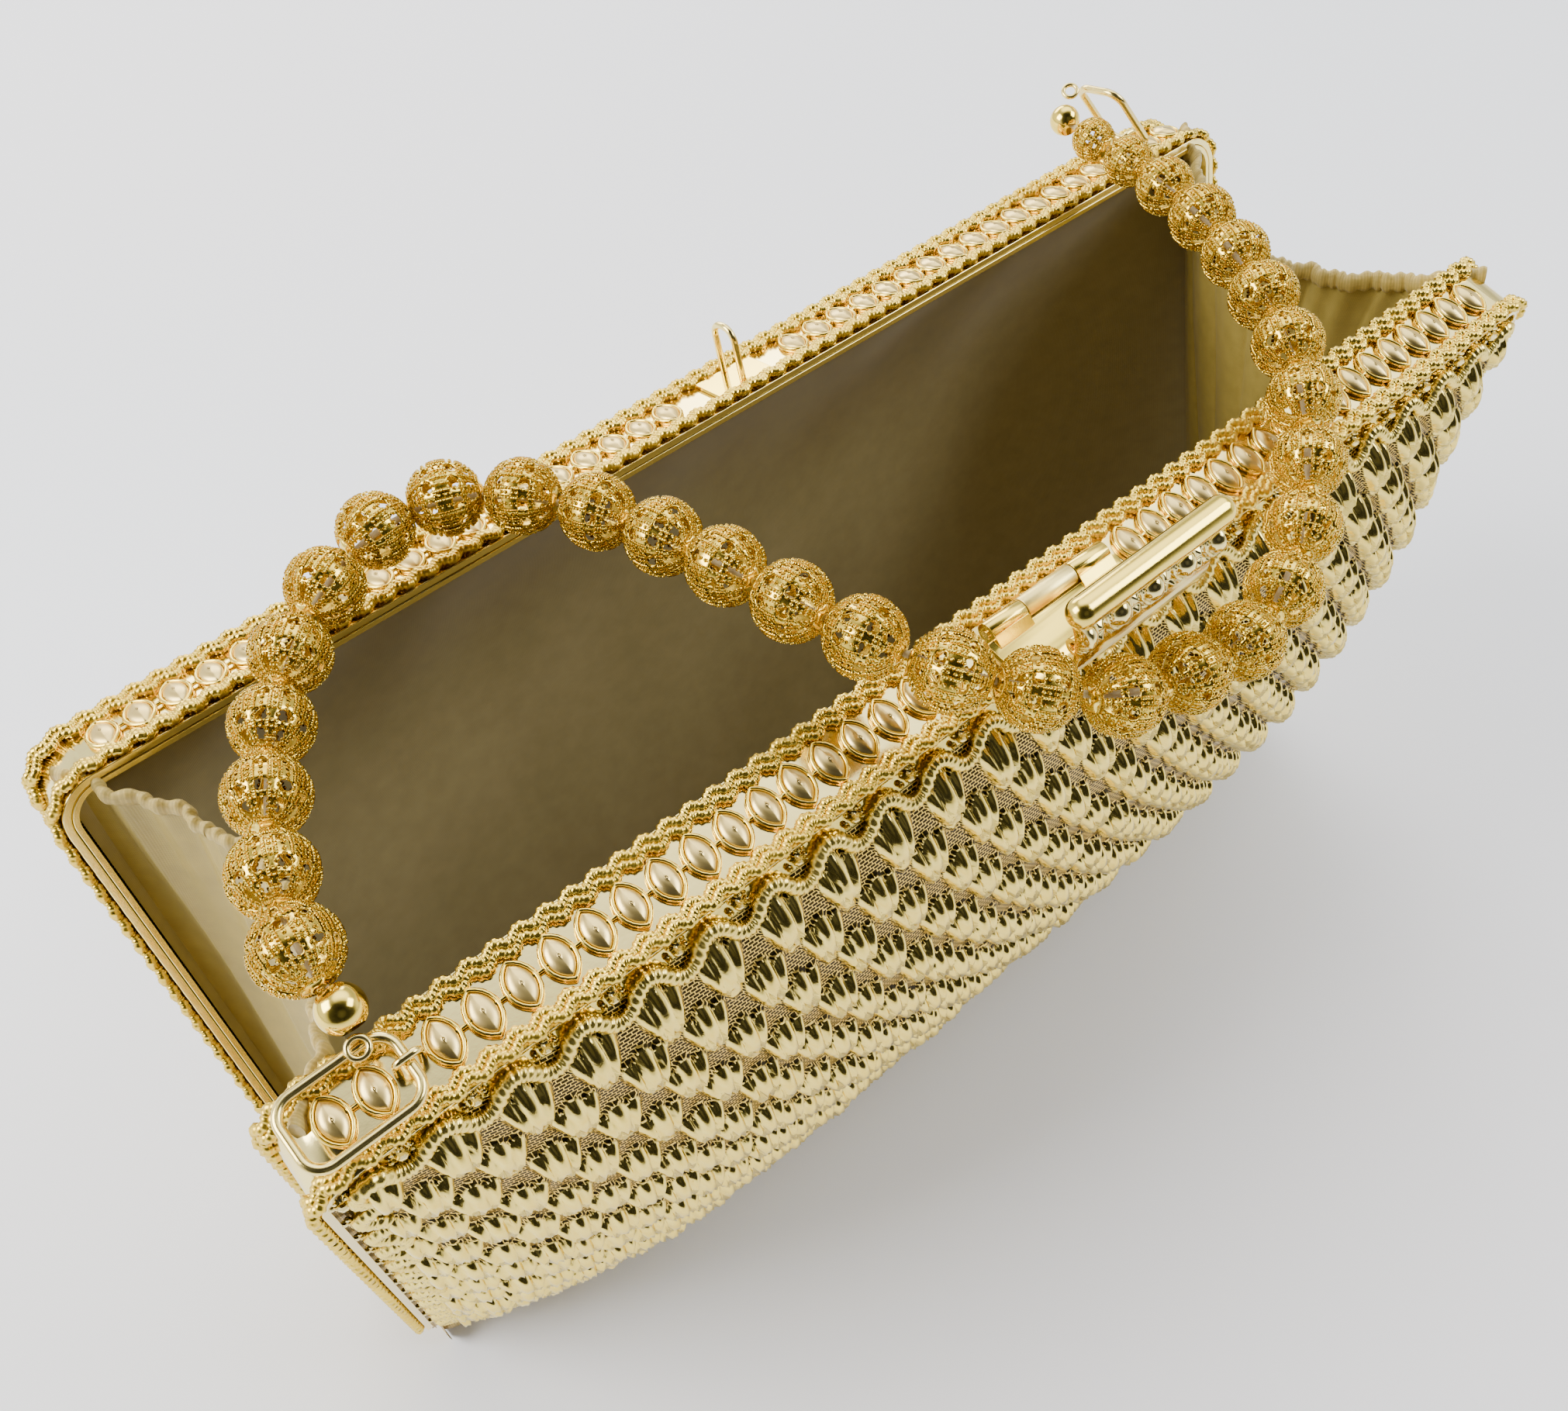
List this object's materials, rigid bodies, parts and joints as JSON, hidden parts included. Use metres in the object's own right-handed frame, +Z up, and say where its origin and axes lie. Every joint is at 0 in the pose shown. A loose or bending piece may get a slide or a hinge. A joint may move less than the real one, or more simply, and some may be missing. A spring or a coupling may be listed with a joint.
{
  "type": "frame evening bag",
  "caption": "Frame evening bag, open, with domed shell-pattern panels, folding gussets, a hinged clasp flap and a draped strand of openwork beads for a handle.",
  "frame": {"origin": "middle of the base, on the surface the bag stands on", "axes": "+X along the frame bars to the right seen from the front, -Y the front, +Z up"},
  "size_m": [0.2134, 0.1049, 0.1383],
  "materials": {
    "gold_plate": "polished",
    "satin_gold": "satin",
    "steel_gold": "polished",
    "stay_steel": "satin",
    "gold_gimp": "metallic thread",
    "pale_gimp": "metallic thread",
    "gold_stone": "mirror plated",
    "panel_board": "matte",
    "shell_fabric": "foil print",
    "lining_satin": "satin",
    "gusset_satin": "satin",
    "filigree": "openwork, polished",
    "strand_thread": "twisted"
  },
  "bodies": {
    "base": {"base_stay": "stay_steel", "left_hinge_pin": "gold_plate", "right_hinge_pin": "gold_plate", "base_board": "panel_board", "bottom_cover": "shell_fabric", "bottom_lining": "lining_satin", "left_gusset": "gusset_satin", "left_gusset_hem": "gusset_satin", "right_gusset": "gusset_satin", "right_gusset_hem": "gusset_satin"},
    "front_half": {"front_frame": "gold_plate", "front_rim": "gold_plate", "front_inner_cord": "gold_gimp", "front_outer_cord": "gold_gimp", "front_stone_chain": "gold_plate", "front_stones": "gold_stone", "front_board": "panel_board", "front_shell_cover": "shell_fabric", "front_border_cord": "pale_gimp", "front_border_dots": "gold_stone", "front_lining": "lining_satin", "left_staple": "gold_plate", "clasp_base": "satin_gold"},
    "back_half": {"back_frame": "gold_plate", "back_rim": "gold_plate", "back_inner_cord": "gold_gimp", "back_outer_cord": "gold_gimp", "back_stone_chain": "gold_plate", "back_stones": "gold_stone", "back_board": "panel_board", "back_shell_cover": "shell_fabric", "back_border_cord": "pale_gimp", "back_border_dots": "gold_stone", "back_lining": "lining_satin", "right_staple": "gold_plate", "catch_loop": "gold_plate", "catch_plate": "gold_plate"},
    "clasp": {"clasp_flap": "gold_plate", "clasp_pin": "gold_plate", "clasp_lip": "gold_plate", "clasp_studs": "gold_stone", "catch_tubes": "gold_plate"},
    "left_ring": {"left_ring": "steel_gold"},
    "right_ring": {"right_ring": "steel_gold"},
    "handle_ends": {"left_ball": "gold_plate", "right_ball": "gold_plate", "left_link": "steel_gold", "right_link": "steel_gold"},
    "handle_left": {"left_beads": "filigree", "left_core": "strand_thread"},
    "handle_right": {"right_beads": "filigree", "right_core": "strand_thread"}
  },
  "joints": [
    {"name": "front_opening", "type": "hinge", "parent": "base", "child": "front_half", "pos_m": [0, 0, 0.01], "axis": [1, 0, 0], "range_deg": [-13, 1.5], "deforming": ["left_gusset", "left_gusset_hem", "right_gusset", "right_gusset_hem"]},
    {"name": "back_opening", "type": "hinge", "parent": "base", "child": "back_half", "pos_m": [0, 0, 0.01], "axis": [1, 0, 0], "range_deg": [-1.5, 13]},
    {"name": "flap_swing", "type": "hinge", "parent": "front_half", "child": "clasp", "pos_m": [0.003, -0.03061, 0.12034], "axis": [1, 0, 0], "range_deg": [-117, 0]},
    {"name": "left_ring_swivel", "type": "hinge", "parent": "front_half", "child": "left_ring", "pos_m": [-0.0902, -0.0314, 0.12021], "axis": [0, 0.9744, 0.225], "range_deg": [0, 70]},
    {"name": "right_ring_swivel", "type": "hinge", "parent": "back_half", "child": "right_ring", "pos_m": [0.0902, 0.0314, 0.12021], "axis": [0, -0.9744, 0.225], "range_deg": [-60, 30]},
    {"name": "handle_turn", "type": "hinge", "parent": "base", "child": "handle_ends", "pos_m": [0, 0, 0.125], "axis": [0, 0, 1], "range_deg": [-16, 2], "deforming": ["left_beads", "right_beads", "left_core", "right_core", "left_ball", "right_ball", "left_link", "right_link"]},
    {"name": "left_lift", "type": "hinge", "parent": "handle_ends", "child": "handle_left", "pos_m": [-0.0934, -0.0283, 0.1226], "axis": [0.9229, 0.3703, 0.105], "range_deg": [0, 75]},
    {"name": "right_lift", "type": "hinge", "parent": "handle_ends", "child": "handle_right", "pos_m": [0.0806, 0.0376, 0.1302], "axis": [-0.9391, -0.3436, -0.0034], "range_deg": [0, 75]}
  ],
  "couplings": [
    {"joint": "back_opening", "follows": "front_opening", "ratio": -1},
    {"joint": "handle_turn", "follows": "front_opening", "ratio": 1.2}
  ]
}
